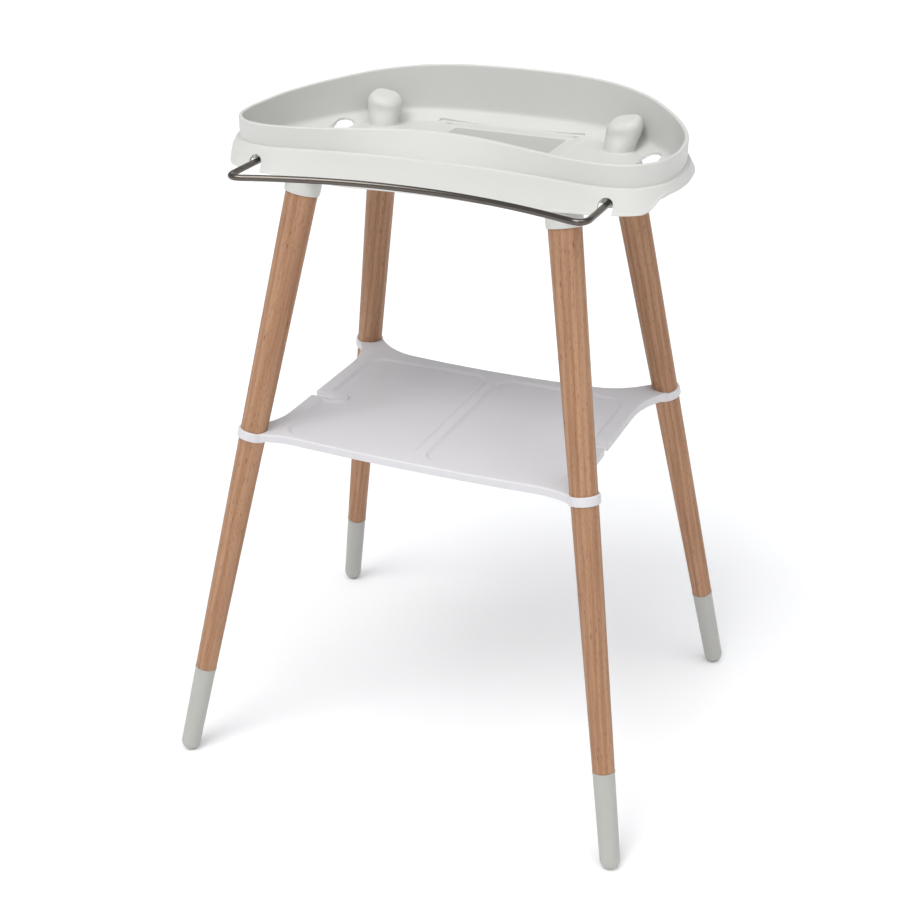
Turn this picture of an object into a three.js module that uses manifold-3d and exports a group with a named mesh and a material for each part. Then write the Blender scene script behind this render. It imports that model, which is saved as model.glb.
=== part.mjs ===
// Changing table: a moulded kidney-shaped tub on four splayed wooden legs, with a lower
// shelf and a towel rail. Millimetres, +Z up, front towards -Y. The origin is on the floor,
// in the middle of the four feet.
import * as THREE from 'three';
import { ConvexGeometry } from 'three/addons/geometries/ConvexGeometry.js';
import { mergeVertices } from 'three/addons/utils/BufferGeometryUtils.js';
import Module from 'manifold-3d';

const wasm = await Module();
wasm.setup();

// ---------------------------------------------------------------- driving dimensions

// Feet and legs. "s" is the distance along a leg from the centre of its foot ball.
const FOOT_X = 318.5;
const FOOT_Y = 262.3;
const FOOT_RADIUS = 13.5;
const FOOT_CENTRE_Z = 13.0; // the ball is ground flat by 0.5 mm where it stands
const SPLAY = 0.1768; // sideways travel per mm of height, in X and in Y: 10 degrees each
const LEG_TAPER = 0.009; // growth of the radius per mm along the leg
const CAP_LENGTH = 124;
const CAP_WALL = 2;
const CAP_PROUD = 0.5;
const CAP_FLOOR = 4; // where the leg ends inside its cap
const CHAMFER = 1;
const SHOULDER_Z = 823;
const TENON_RADIUS = 14;
const TENON_TOP_Z = 857;
const STUD_RADIUS = 4;
const STUD_LENGTH = 44;
const INSERT_RADIUS = 7;
const INSERT_LENGTH = 11;
const GAP = 0.3;
const LEG_SEGMENTS = 20;
const BEYOND = 20; // how far a cutting shape reaches past what it cuts

// Tub heights.
const FLOOR_Z = 847;
const FLOOR_THICKNESS = 4;
const LEDGE_Z = 868;
const RIM_FRONT_Z = 896;
const RIM_FRONT_CROWN = 5;
const RIM_REAR_RISE = 26;
const RIM_RISE_FROM_Y = -40; // the rim climbs from here to its highest point at the rear
const RIM_RISE_POWER = 1.9;
const SKIRT_FRONT_Z = 841;
const SKIRT_FRONT_DROP = 20;
const SKIRT_DROP_HALF_WIDTH = 275;
const SKIRT_SIDE_Z = 857;
const SKIRT_SIDE_BLEND = { from: -119, to: -92 }; // Y where the deep front skirt runs out
const FLOOR_EDGE_RISE = 4;
const FLOOR_REAR_RISE = 5.5;

// Tub plan: the edge of the ledge, right half, from the front centre to the rear centre.
const LEDGE_PLAN = [
  [0, -110], [70, -112], [130, -118], [185, -127], [224, -131], [259, -121], [284, -93],
  [293, -53], [292, -12], [284, 30], [264, 72], [235, 109], [196, 145], [147, 172], [88, 187],
  [0, 192],
];
const STATIONS = 84;
const WAIST_HALF_WIDTH = 190; // the front waist runs out this far from the middle
const WAIST_SETBACK = 16;
const REAR_LEAN = 4;
const REAR_BLEND = { from: 60, to: 160 }; // Y where the side wall turns into the rear wall
const FLARE = { side: 7, front: 16, waist: 6, from: -122, to: -95 };

// The tub's wall and skirt, measured inwards from the edge of the ledge.
const WALL_INSIDE = 8;
const WALL_OUTSIDE = 3;
const RIM_MIDDLE = 5.5;
const RIM_ROUND = 2;
const FLOOR_SWEEP = 34; // width over which the floor turns up into the wall
const FLOOR_CORNER = 10;
const SKIRT_WALL = 3.2;
const SKIRT_ROUND = 1.2;
const FAN_CENTRE_Y = 20;

// Sockets of the legs, with a hollow boss above the tub's floor.
const COLLAR_BOTTOM_Z = 812;
const COLLAR_RADIUS = 23.5;
const SLEEVE = { lip: 1, mouth: 1.6, belly: 9, waist: 20, neck: 4.3, top: 2.4 };
const SLEEVE_NECK_Z = 849;
const SLEEVE_TOP_Z = 858;
const BOSS_RADIUS = 20;
const REAR_BOSS_Z = 884;
const REAR_BOSS_FOOT = { x: 5.2, y: -1 };
const REAR_BOSS_HEAD = { x: 8, y: 10, halfWidth: 22.5, halfDepth: 20.5, corner: 17.5 };
const FRONT_BOSS_Z = 878;
const FRONT_BOSS_START = { x: 4, y: 8 };
const FRONT_BOSS_END = { x: 12, y: 4 };
const BOSS_ROOT = 2; // how far a boss reaches into the floor
const BOSS_STRAIGHT = 4; // the height over which a rear boss stays round

// Storage recess and end openings in the tub's floor.
const RECESS = { halfWidth: 81, front: -50, back: 154, depth: 7, bevel: 23 };
const RECESS_TRAY = { side: 3, end: 8, radius: 8 };
const END_SLOT = { x: 219, front: 36, back: 98, radius: 11 };

// Towel rail.
const RAIL_RADIUS = 4;
const RAIL_X = 232;
const RAIL_Z = 850;
const RAIL_CORNER_Y = -216;
const RAIL_MIDDLE_Y = -170;
const RAIL_BEND = 16;
const RAIL_END_Y = -92;
const RAIL_SOCKET = { front: -122, back: -86, radius: 8 };
const RAIL_NOTCH = { width: 18, top: 859, depth: 34 };
const RAIL_SCREW = { y: -104, radius: 2, length: 3.6, holeLength: 14 };

// Shelf.
const SHELF_TOP_Z = 492;
const SHELF_THICKNESS = 11.5;
const SHELF_SKIN = 3;
const SHELF_HALF_WIDTH = 217;
const RING_WALL = 2.8;
const RING_HEIGHT = 12;
const BAY_COLUMNS = [[5, 100], [103, 205]];
const BAY_ROWS = [[-174, -62], [-12, 56], [59, 124]];
const BAY_RADIUS = 6;
const TRAY = { inner: 8, outer: 196, front: -170, back: 116, depth: 3.5, radius: 26 };
const SIDE_SLOT = { y: -37, end: 180, radius: 7.5, rim: 8 };

// ---------------------------------------------------------------- shared helpers

const LEAN = Math.sqrt(1 + 2 * SPLAY * SPLAY); // length along a leg per mm of height
const CORNERS = [
  { name: 'front_left', sx: -1, sy: -1 },
  { name: 'front_right', sx: 1, sy: -1 },
  { name: 'rear_left', sx: -1, sy: 1 },
  { name: 'rear_right', sx: 1, sy: 1 },
];
const SIDES = [{ name: 'left', sx: -1 }, { name: 'right', sx: 1 }];

const along = (z) => (z - FOOT_CENTRE_Z) * LEAN;
const legRadius = (s) => FOOT_RADIUS + LEG_TAPER * s;
const axisX = (z) => FOOT_X - SPLAY * (z - FOOT_CENTRE_Z);
const axisY = (z) => FOOT_Y - SPLAY * (z - FOOT_CENTRE_Z);

const SHOULDER_S = along(SHOULDER_Z);
const TENON_TOP_S = along(TENON_TOP_Z);

function smoothstep(from, to, value) {
  const t = Math.min(Math.max((value - from) / (to - from), 0), 1);
  return t * t * (3 - 2 * t);
}

function legFrame(corner) {
  const direction = new THREE.Vector3(-corner.sx * SPLAY, -corner.sy * SPLAY, 1).normalize();
  const turn = new THREE.Quaternion().setFromUnitVectors(new THREE.Vector3(0, 0, 1), direction);
  const foot = new THREE.Vector3(corner.sx * FOOT_X, corner.sy * FOOT_Y, FOOT_CENTRE_Z);
  return new THREE.Matrix4().compose(foot, turn, new THREE.Vector3(1, 1, 1));
}

function turned(profile, segments) {
  const points = profile.map(([radius, height]) => new THREE.Vector2(radius, height));
  return new THREE.LatheGeometry(points, segments).rotateX(Math.PI / 2);
}

function signedVolume(vertices, triangles) {
  const corner = (i) => new THREE.Vector3().fromArray(vertices, 3 * triangles[i]);
  let volume = 0;
  for (let i = 0; i < triangles.length; i += 3) {
    volume += corner(i).dot(corner(i + 1).cross(corner(i + 2))) / 6;
  }
  return volume;
}

function toSolid(geometry) {
  const bare = new THREE.BufferGeometry();
  bare.setAttribute('position', geometry.getAttribute('position').clone());
  if (geometry.index) bare.setIndex(geometry.index.clone());
  const merged = mergeVertices(bare, 1e-4);
  const vertices = merged.getAttribute('position').array;
  const triangles = [];
  for (let i = 0; i < merged.index.count; i += 3) {
    const [a, b, c] = [0, 1, 2].map((k) => merged.index.getX(i + k));
    if (a !== b && b !== c && c !== a) triangles.push(a, b, c);
  }
  if (signedVolume(vertices, triangles) < 0) triangles.reverse();
  return new wasm.Manifold(new wasm.Mesh({
    numProp: 3,
    vertProperties: Float32Array.from(vertices),
    triVerts: Uint32Array.from(triangles),
  }));
}

function toGeometry(solid) {
  const mesh = solid.getMesh();
  const geometry = new THREE.BufferGeometry();
  geometry.setAttribute('position', new THREE.BufferAttribute(mesh.vertProperties, 3));
  geometry.setIndex(new THREE.BufferAttribute(mesh.triVerts, 1));
  geometry.computeVertexNormals();
  return geometry;
}

function block(x0, x1, y0, y1, z0, z1) {
  return toSolid(new THREE.BoxGeometry(x1 - x0, y1 - y0, z1 - z0)
    .translate((x0 + x1) / 2, (y0 + y1) / 2, (z0 + z1) / 2));
}

function roundedRectangle(x0, x1, y0, y1, radius) {
  const shape = new THREE.Shape();
  shape.absarc(x1 - radius, y1 - radius, radius, 0, Math.PI / 2);
  shape.absarc(x0 + radius, y1 - radius, radius, Math.PI / 2, Math.PI);
  shape.absarc(x0 + radius, y0 + radius, radius, Math.PI, 1.5 * Math.PI);
  shape.absarc(x1 - radius, y0 + radius, radius, 1.5 * Math.PI, 2 * Math.PI);
  return shape;
}

// An outline round two equal circles, from (x0, y0) to (x1, y1).
function stadium(x0, y0, x1, y1, radius) {
  const heading = Math.atan2(y1 - y0, x1 - x0);
  const shape = new THREE.Shape();
  shape.absarc(x1, y1, radius, heading - Math.PI / 2, heading + Math.PI / 2);
  shape.absarc(x0, y0, radius, heading + Math.PI / 2, heading + 1.5 * Math.PI);
  return shape;
}

function upright(shape, z0, z1, curveSegments = 6) {
  const options = { depth: z1 - z0, bevelEnabled: false, curveSegments };
  return new THREE.ExtrudeGeometry(shape, options).translate(0, 0, z0);
}

// ---------------------------------------------------------------- tub shell

function ledgeCurve() {
  const right = LEDGE_PLAN.map(([x, y]) => new THREE.Vector3(x, y, 0));
  const left = LEDGE_PLAN.slice(1, -1).reverse().map(([x, y]) => new THREE.Vector3(-x, y, 0));
  return new THREE.CatmullRomCurve3([...right, ...left], true, 'centripetal');
}

// 1 in the middle of the front, falling smoothly to 0 at the half width.
function frontWave(point, halfWidth) {
  const atFront = point.y < 0 && Math.abs(point.x) < halfWidth;
  return atFront ? Math.cos((Math.PI * point.x) / (2 * halfWidth)) ** 2 : 0;
}

// What the tub's section needs to know at one place round its edge.
function station(curve, u) {
  const point = curve.getPointAt(u);
  const tangent = curve.getTangentAt(u);
  const waist = frontWave(point, WAIST_HALF_WIDTH);
  const rear = smoothstep(REAR_BLEND.from, REAR_BLEND.to, point.y);
  const rearY = LEDGE_PLAN[LEDGE_PLAN.length - 1][1];
  const climb = Math.max(point.y - RIM_RISE_FROM_Y, 0) / (rearY - RIM_RISE_FROM_Y);
  const sideOfSkirt = smoothstep(SKIRT_SIDE_BLEND.from, SKIRT_SIDE_BLEND.to, point.y);
  const sideOfFlare = smoothstep(FLARE.from, FLARE.to, point.y);
  const skirtFront = SKIRT_FRONT_Z
    - SKIRT_FRONT_DROP * frontWave(point, SKIRT_DROP_HALF_WIDTH);
  return {
    x: point.x,
    y: point.y,
    outX: tangent.y,
    outY: -tangent.x,
    lean: REAR_LEAN * rear - WAIST_SETBACK * waist,
    flare: FLARE.front + (FLARE.side - FLARE.front) * sideOfFlare + FLARE.waist * waist,
    rimZ: RIM_FRONT_Z + RIM_FRONT_CROWN * waist + RIM_REAR_RISE * climb ** RIM_RISE_POWER,
    footZ: FLOOR_Z + FLOOR_EDGE_RISE + FLOOR_REAR_RISE * rear,
    skirtZ: skirtFront + (SKIRT_SIDE_Z - skirtFront) * sideOfSkirt,
  };
}

// The tub's section as [distance outside the ledge's edge, height], from the floor over the
// rim and the skirt to the underside.
function tubSection({ lean, flare, rimZ, footZ, skirtZ }) {
  const inner = -WALL_INSIDE;
  const outer = -WALL_OUTSIDE;
  return [
    [-FLOOR_SWEEP, FLOOR_Z],
    [-FLOOR_CORNER, footZ],
    [inner, footZ + 5],
    [inner + lean / 2, (LEDGE_Z + rimZ) / 2],
    [inner + lean, rimZ - RIM_ROUND],
    [lean - RIM_MIDDLE, rimZ],
    [outer + lean, rimZ - RIM_ROUND],
    [outer, LEDGE_Z + SKIRT_ROUND],
    [-0.6, LEDGE_Z + 0.2],
    [0.4, LEDGE_Z - 1],
    [flare, skirtZ + SKIRT_ROUND],
    [flare - SKIRT_WALL / 2, skirtZ],
    [flare - SKIRT_WALL, skirtZ + SKIRT_ROUND],
    [outer, LEDGE_Z - 6],
    [inner + 2, footZ - FLOOR_THICKNESS + 0.5],
    [-FLOOR_CORNER - 3, footZ - FLOOR_THICKNESS],
    [-FLOOR_SWEEP, FLOOR_Z - FLOOR_THICKNESS],
  ];
}

function tubShell() {
  const curve = ledgeCurve();
  const vertices = [];
  let sectionLength = 0;
  for (let i = 0; i < STATIONS; i += 1) {
    const place = station(curve, i / STATIONS);
    const section = tubSection(place);
    sectionLength = section.length;
    for (const [out, z] of section) {
      vertices.push(place.x + place.outX * out, place.y + place.outY * out, z);
    }
  }
  const topCentre = vertices.length / 3;
  vertices.push(0, FAN_CENTRE_Y, FLOOR_Z, 0, FAN_CENTRE_Y, FLOOR_Z - FLOOR_THICKNESS);
  const triangles = [];
  for (let i = 0; i < STATIONS; i += 1) {
    const here = i * sectionLength;
    const next = ((i + 1) % STATIONS) * sectionLength;
    triangles.push(topCentre, here, next);
    triangles.push(topCentre + 1, next + sectionLength - 1, here + sectionLength - 1);
    for (let k = 0; k < sectionLength - 1; k += 1) {
      triangles.push(here + k, here + k + 1, next + k);
      triangles.push(next + k, here + k + 1, next + k + 1);
    }
  }
  const geometry = new THREE.BufferGeometry();
  geometry.setAttribute('position', new THREE.Float32BufferAttribute(vertices, 3));
  geometry.setIndex(triangles);
  return toSolid(geometry);
}

// ---------------------------------------------------------------- tub details

// Everything above the ledge that lies outside the middle of the tub's wall.
function outsideWall() {
  const curve = ledgeCurve();
  const middle = [];
  for (let i = 0; i < STATIONS; i += 1) {
    const { x, y, outX, outY, lean } = station(curve, i / STATIONS);
    const out = Math.min(lean / 2, 0) - RIM_MIDDLE;
    middle.push(new THREE.Vector2(x + outX * out, y + outY * out));
  }
  const [bottom, top] = [LEDGE_Z - 4, RIM_FRONT_Z + 2 * BEYOND];
  const inside = toSolid(upright(new THREE.Shape(middle), bottom - BEYOND, top + BEYOND));
  const half = FOOT_X + BEYOND;
  return block(-half, half, -half, half, bottom, top).subtract(inside);
}

// A rear boss widens from a round foot to a squarer head that leans outwards and back.
function rearBoss(corner, x, y) {
  const head = REAR_BOSS_HEAD;
  const [headX, headY] = [corner.sx * (x + head.x), y + head.y];
  const top = REAR_BOSS_Z + BEYOND;
  const foot = new THREE.Shape();
  foot.absarc(corner.sx * (x + REAR_BOSS_FOOT.x), y + REAR_BOSS_FOOT.y, BOSS_RADIUS,
    0, 2 * Math.PI);
  const outline = roundedRectangle(headX - head.halfWidth, headX + head.halfWidth,
    headY - head.halfDepth, headY + head.halfDepth, head.corner);
  const levels = [
    [foot, FLOOR_Z - BOSS_ROOT], [foot, FLOOR_Z + BOSS_STRAIGHT],
    [outline, REAR_BOSS_Z], [outline, top],
  ];
  return toSolid(new ConvexGeometry(levels.flatMap(([shape, z]) => (
    shape.getPoints(5).map((p) => new THREE.Vector3(p.x, p.y, z))
  ))));
}

function frontBoss(corner, x, y) {
  const [start, end] = [FRONT_BOSS_START, FRONT_BOSS_END];
  const outline = stadium(
    corner.sx * (x + start.x), start.y - y, corner.sx * (x + end.x), end.y - y, BOSS_RADIUS,
  );
  return toSolid(upright(outline, FLOOR_Z - BOSS_ROOT, FRONT_BOSS_Z + BEYOND, 5));
}

// Outside of one leg socket: the sleeve under the floor and the boss above it.
function socketOutside(corner, wallCut) {
  const bottom = along(COLLAR_BOTTOM_Z);
  const sleeve = toSolid(turned([
    [0, bottom], [legRadius(bottom) + SLEEVE.lip, bottom],
    [legRadius(bottom) + SLEEVE.mouth, bottom + CHAMFER],
    [COLLAR_RADIUS, bottom + SLEEVE.belly], [COLLAR_RADIUS - CHAMFER, bottom + SLEEVE.waist],
    [TENON_RADIUS + SLEEVE.neck, along(SLEEVE_NECK_Z)],
    [TENON_RADIUS + SLEEVE.top, along(SLEEVE_TOP_Z)], [0, along(SLEEVE_TOP_Z)],
  ], LEG_SEGMENTS).applyMatrix4(legFrame(corner)));
  const bossZ = corner.sy > 0 ? REAR_BOSS_Z : FRONT_BOSS_Z;
  const [x, y] = [axisX(bossZ), axisY(bossZ)];
  const boss = corner.sy > 0 ? rearBoss(corner, x, y) : frontBoss(corner, x, y);
  const reach = 2 * BEYOND + BOSS_RADIUS;
  const lid = block(-reach, reach, -reach, reach, 0, reach);
  const slope = corner.sy > 0 ? SPLAY : SPLAY / 2;
  const facing = new THREE.Vector3(-corner.sx * slope, -corner.sy * slope, 1).normalize();
  const tilt = new THREE.Quaternion().setFromUnitVectors(new THREE.Vector3(0, 0, 1), facing);
  const matrix = new THREE.Matrix4().compose(
    new THREE.Vector3(corner.sx * x, corner.sy * y, bossZ), tilt, new THREE.Vector3(1, 1, 1),
  );
  const trimmed = boss.subtract(lid.transform(matrix.elements)).subtract(wallCut);
  return sleeve.add(trimmed);
}

// The stepped bore of one leg socket: the leg's head, its tenon and the threaded insert.
function socketBore(corner) {
  const start = along(COLLAR_BOTTOM_Z) - BEYOND;
  const seat = SHOULDER_S + GAP;
  const tenonEnd = TENON_TOP_S + GAP;
  const insertEnd = tenonEnd + INSERT_LENGTH + GAP;
  return toSolid(turned([
    [0, start], [legRadius(start) + GAP, start], [legRadius(seat) + GAP, seat],
    [TENON_RADIUS + GAP, seat], [TENON_RADIUS + GAP, tenonEnd],
    [INSERT_RADIUS + GAP, tenonEnd], [INSERT_RADIUS + GAP, insertEnd], [0, insertEnd],
  ], LEG_SEGMENTS).applyMatrix4(legFrame(corner)));
}

// The recess in the floor has bevelled ends, and a tray under the floor closes it.
function recessTray() {
  const { halfWidth, front, back, depth, bevel } = RECESS;
  const { side, end, radius } = RECESS_TRAY;
  const half = halfWidth + bevel + side;
  const outline = roundedRectangle(-half, half, front - end, back + end, radius);
  const bottom = FLOOR_Z - depth - FLOOR_THICKNESS;
  return toSolid(upright(outline, bottom, FLOOR_Z - FLOOR_THICKNESS + 1, 3));
}

function recessCut() {
  const { halfWidth, front, back, depth, bevel } = RECESS;
  const profile = new THREE.Shape();
  profile.moveTo(-halfWidth, FLOOR_Z - depth);
  profile.lineTo(halfWidth, FLOOR_Z - depth);
  profile.lineTo(halfWidth + bevel, FLOOR_Z);
  profile.lineTo(halfWidth + bevel, FLOOR_Z + BEYOND);
  profile.lineTo(-halfWidth - bevel, FLOOR_Z + BEYOND);
  profile.lineTo(-halfWidth - bevel, FLOOR_Z);
  const options = { depth: back - front, bevelEnabled: false };
  return toSolid(new THREE.ExtrudeGeometry(profile, options)
    .rotateX(Math.PI / 2).translate(0, back, 0));
}

function endSlotCut(side) {
  const x = side.sx * END_SLOT.x;
  const outline = stadium(x, END_SLOT.front + END_SLOT.radius,
    x, END_SLOT.back - END_SLOT.radius, END_SLOT.radius);
  return toSolid(upright(outline, FLOOR_Z - BEYOND, FLOOR_Z + BEYOND, 4));
}

function rodAlongY(x, z, radius, y0, y1, segments) {
  return new THREE.CylinderGeometry(radius, radius, y1 - y0, segments)
    .translate(x, (y0 + y1) / 2, z);
}

function railSocket(side) {
  const { front, back, radius } = RAIL_SOCKET;
  return toSolid(rodAlongY(side.sx * RAIL_X, RAIL_Z, radius, front, back, 20));
}

function railSocketCut(side) {
  const x = side.sx * RAIL_X;
  const start = RAIL_SOCKET.front - BEYOND;
  const bore = toSolid(rodAlongY(x, RAIL_Z, RAIL_RADIUS + GAP, start, RAIL_END_Y + GAP, 16));
  const { y, radius, holeLength } = RAIL_SCREW;
  const screwHole = toSolid(new THREE.CylinderGeometry(radius + GAP, radius + GAP, holeLength, 12)
    .rotateX(Math.PI / 2).translate(x, y, RAIL_Z - holeLength / 2));
  const notch = new THREE.Shape();
  const half = RAIL_NOTCH.width / 2;
  notch.moveTo(x + half, SKIRT_FRONT_Z - BEYOND);
  notch.lineTo(x + half, RAIL_NOTCH.top - half);
  notch.absarc(x, RAIL_NOTCH.top - half, half, 0, Math.PI);
  notch.lineTo(x - half, SKIRT_FRONT_Z - BEYOND);
  const opening = toSolid(new THREE.ExtrudeGeometry(notch,
    { depth: RAIL_NOTCH.depth, bevelEnabled: false, curveSegments: 8 })
    .rotateX(Math.PI / 2).translate(0, RAIL_SOCKET.front, 0));
  return bore.add(screwHole).add(opening);
}

function tubGeometry() {
  let tub = tubShell().add(recessTray());
  const wallCut = outsideWall();
  for (const corner of CORNERS) tub = tub.add(socketOutside(corner, wallCut));
  for (const side of SIDES) tub = tub.add(railSocket(side));
  tub = tub.subtract(recessCut());
  for (const corner of CORNERS) tub = tub.subtract(socketBore(corner));
  for (const side of SIDES) tub = tub.subtract(railSocketCut(side)).subtract(endSlotCut(side));
  return toGeometry(tub);
}

// ---------------------------------------------------------------- leg pieces

const coreRadius = (s) => legRadius(s) - CAP_WALL;

function legGeometry() {
  const core = CAP_LENGTH;
  const boltDepth = TENON_TOP_S + INSERT_LENGTH - STUD_LENGTH - 2;
  return turned([
    [0, CAP_FLOOR], [coreRadius(CAP_FLOOR) - 1.5, CAP_FLOOR],
    [coreRadius(CAP_FLOOR + 2), CAP_FLOOR + 2], [coreRadius(core), core],
    [legRadius(core) - 0.4, core], [legRadius(core + 1), core + 0.6],
    [legRadius(SHOULDER_S - CHAMFER), SHOULDER_S - CHAMFER],
    [legRadius(SHOULDER_S) - CHAMFER, SHOULDER_S],
    [TENON_RADIUS, SHOULDER_S], [TENON_RADIUS, TENON_TOP_S - CHAMFER],
    [TENON_RADIUS - CHAMFER, TENON_TOP_S], [STUD_RADIUS + GAP, TENON_TOP_S],
    [STUD_RADIUS + GAP, boltDepth], [0, boltDepth],
  ], LEG_SEGMENTS);
}

function footCap(corner) {
  const top = CAP_LENGTH - GAP;
  const profile = [];
  for (let i = 0; i <= 4; i += 1) {
    const angle = -Math.PI / 2 + (i / 4) * (Math.PI / 2);
    profile.push([FOOT_RADIUS * Math.cos(angle), FOOT_RADIUS * Math.sin(angle)]);
  }
  profile[0][0] = 0;
  profile.push(
    [legRadius(top) + CAP_PROUD, top - 0.8], [legRadius(top) + CAP_PROUD - 0.6, top],
    [coreRadius(top) + GAP, top], [coreRadius(CAP_FLOOR + 2) + GAP, CAP_FLOOR + 2],
    [coreRadius(CAP_FLOOR) - CHAMFER, CAP_FLOOR - GAP], [0, CAP_FLOOR - GAP],
  );
  const frame = legFrame(corner);
  const cap = toSolid(turned(profile, LEG_SEGMENTS).applyMatrix4(frame));
  const reach = FOOT_X + BEYOND;
  const ground = block(-reach, reach, -reach, reach, -BEYOND, 0);
  return toGeometry(cap.subtract(ground)).applyMatrix4(frame.clone().invert());
}

function studGeometry() {
  const top = TENON_TOP_S + INSERT_LENGTH - CHAMFER;
  const bottom = top - STUD_LENGTH;
  return turned([
    [0, bottom], [STUD_RADIUS - 2, bottom], [STUD_RADIUS, bottom + 5],
    [STUD_RADIUS, top - CHAMFER], [STUD_RADIUS - CHAMFER, top], [0, top],
  ], 10);
}

function insertGeometry() {
  const bottom = TENON_TOP_S + 2 * GAP;
  const top = bottom + INSERT_LENGTH - GAP;
  const bore = STUD_RADIUS + GAP;
  return turned([
    [bore, bottom], [INSERT_RADIUS, bottom], [INSERT_RADIUS, top], [bore, top], [bore, bottom],
  ], LEG_SEGMENTS);
}

// ---------------------------------------------------------------- rail pieces

// The rail's centre line: an arm on each side, two bends and a front bar that curves inwards.
class RailLine extends THREE.Curve {
  constructor() {
    super();
    const sag = RAIL_MIDDLE_Y - RAIL_CORNER_Y;
    const slope = (2 * sag) / RAIL_X;
    const turn = Math.PI / 2 + Math.atan(slope);
    const setback = RAIL_BEND * Math.tan(turn / 2);
    const middleBar = (t) => new THREE.Vector3(
      RAIL_X * t, RAIL_MIDDLE_Y - sag * t * t, RAIL_Z,
    );
    const barEnd = 1 - (setback * Math.cos(Math.atan(slope))) / RAIL_X;
    const bar = [-barEnd, -0.6, -0.3, 0, 0.3, 0.6, barEnd].map(middleBar);
    const armEnd = (sx, y) => new THREE.Vector3(sx * RAIL_X, y, RAIL_Z);
    const corner = (sx) => armEnd(sx, RAIL_CORNER_Y);
    const bendStart = RAIL_CORNER_Y + setback;
    this.pieces = [
      new THREE.LineCurve3(armEnd(-1, RAIL_END_Y), armEnd(-1, bendStart)),
      new THREE.QuadraticBezierCurve3(armEnd(-1, bendStart), corner(-1), bar[0]),
      new THREE.CatmullRomCurve3(bar, false, 'centripetal'),
      new THREE.QuadraticBezierCurve3(bar[6], corner(1), armEnd(1, bendStart)),
      new THREE.LineCurve3(armEnd(1, bendStart), armEnd(1, RAIL_END_Y)),
    ];
    this.lengths = this.pieces.map((piece) => piece.getLength());
    this.total = this.lengths.reduce((sum, length) => sum + length, 0);
  }

  getPoint(t, target = new THREE.Vector3()) {
    let distance = t * this.total;
    let index = 0;
    while (index < this.pieces.length - 1 && distance > this.lengths[index]) {
      distance -= this.lengths[index];
      index += 1;
    }
    const share = Math.min(distance / this.lengths[index], 1);
    return target.copy(this.pieces[index].getPointAt(share));
  }
}

function railGeometry() {
  const section = new THREE.Shape();
  section.absarc(0, 0, RAIL_RADIUS, 0, 2 * Math.PI);
  const options = { steps: 54, curveSegments: 5, bevelEnabled: false, extrudePath: new RailLine() };
  return toGeometry(toSolid(new THREE.ExtrudeGeometry(section, options)));
}

function railScrewGeometry() {
  const { radius, length } = RAIL_SCREW;
  return new THREE.CylinderGeometry(radius, radius, length, 12).rotateX(Math.PI / 2);
}

// ---------------------------------------------------------------- shelf

// One quarter of the shelf's edge runs from a ring round a leg to the middle of an end.
function shelfOutline() {
  const ringX = axisX(SHELF_TOP_Z - SHELF_THICKNESS / 2);
  const ringY = axisY(SHELF_TOP_Z - SHELF_THICKNESS / 2);
  const half = SHELF_HALF_WIDTH;
  const shape = new THREE.Shape();
  shape.moveTo(0, -187);
  shape.quadraticCurveTo(90, -187, 165, -182);
  shape.quadraticCurveTo(205, -180, ringX - 4, -ringY - 19);
  shape.lineTo(ringX + 14, -ringY);
  shape.lineTo(ringX + 2, -ringY + 19);
  shape.quadraticCurveTo(half, -138, half, -108);
  shape.lineTo(half, 92);
  shape.quadraticCurveTo(half, 124, ringX + 14, ringY - 14);
  shape.lineTo(ringX, ringY + 10);
  shape.lineTo(ringX - 12, ringY + 17);
  shape.quadraticCurveTo(192, 150, 150, 142);
  shape.quadraticCurveTo(80, 134, 0, 134);
  const rightHalf = shape.getPoints(6);
  const leftHalf = rightHalf.slice(1, -1).reverse().map((p) => new THREE.Vector2(-p.x, p.y));
  return new THREE.Shape([...rightHalf, ...leftHalf]);
}

function shelfRing(corner) {
  const middle = along(SHELF_TOP_Z - SHELF_THICKNESS / 2);
  const radius = legRadius(middle) + GAP + RING_WALL;
  const [bottom, top] = [middle - RING_HEIGHT / 2, middle + RING_HEIGHT / 2];
  return toSolid(turned([
    [0, bottom], [radius - CHAMFER, bottom], [radius, bottom + CHAMFER],
    [radius, top - CHAMFER], [radius - CHAMFER, top], [0, top],
  ], LEG_SEGMENTS).applyMatrix4(legFrame(corner)));
}

function shelfBore(corner) {
  const middle = along(SHELF_TOP_Z - SHELF_THICKNESS / 2);
  const [bottom, top] = [middle - 2 * BEYOND, middle + 2 * BEYOND];
  return toSolid(turned([
    [0, bottom], [legRadius(bottom) + GAP, bottom], [legRadius(top) + GAP, top], [0, top],
  ], LEG_SEGMENTS).applyMatrix4(legFrame(corner)));
}

// The slot in one side of the shelf, and the raised border that the tray leaves round it.
function sideSlot(side, grow) {
  const { y, end, radius } = SIDE_SLOT;
  const open = SHELF_HALF_WIDTH + 2 * BEYOND;
  const outline = stadium(side.sx * end, y, side.sx * open, y, radius + grow);
  return toSolid(upright(outline, SHELF_TOP_Z - BEYOND, SHELF_TOP_Z + BEYOND, 4));
}

function trayCut(side) {
  const { inner, outer, front, back, depth, radius } = TRAY;
  const [x0, x1] = side.sx > 0 ? [inner, outer] : [-outer, -inner];
  const outline = roundedRectangle(x0, x1, front, back, radius);
  return toSolid(upright(outline, SHELF_TOP_Z - depth, SHELF_TOP_Z + BEYOND, 3))
    .subtract(sideSlot(side, SIDE_SLOT.rim));
}

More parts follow.
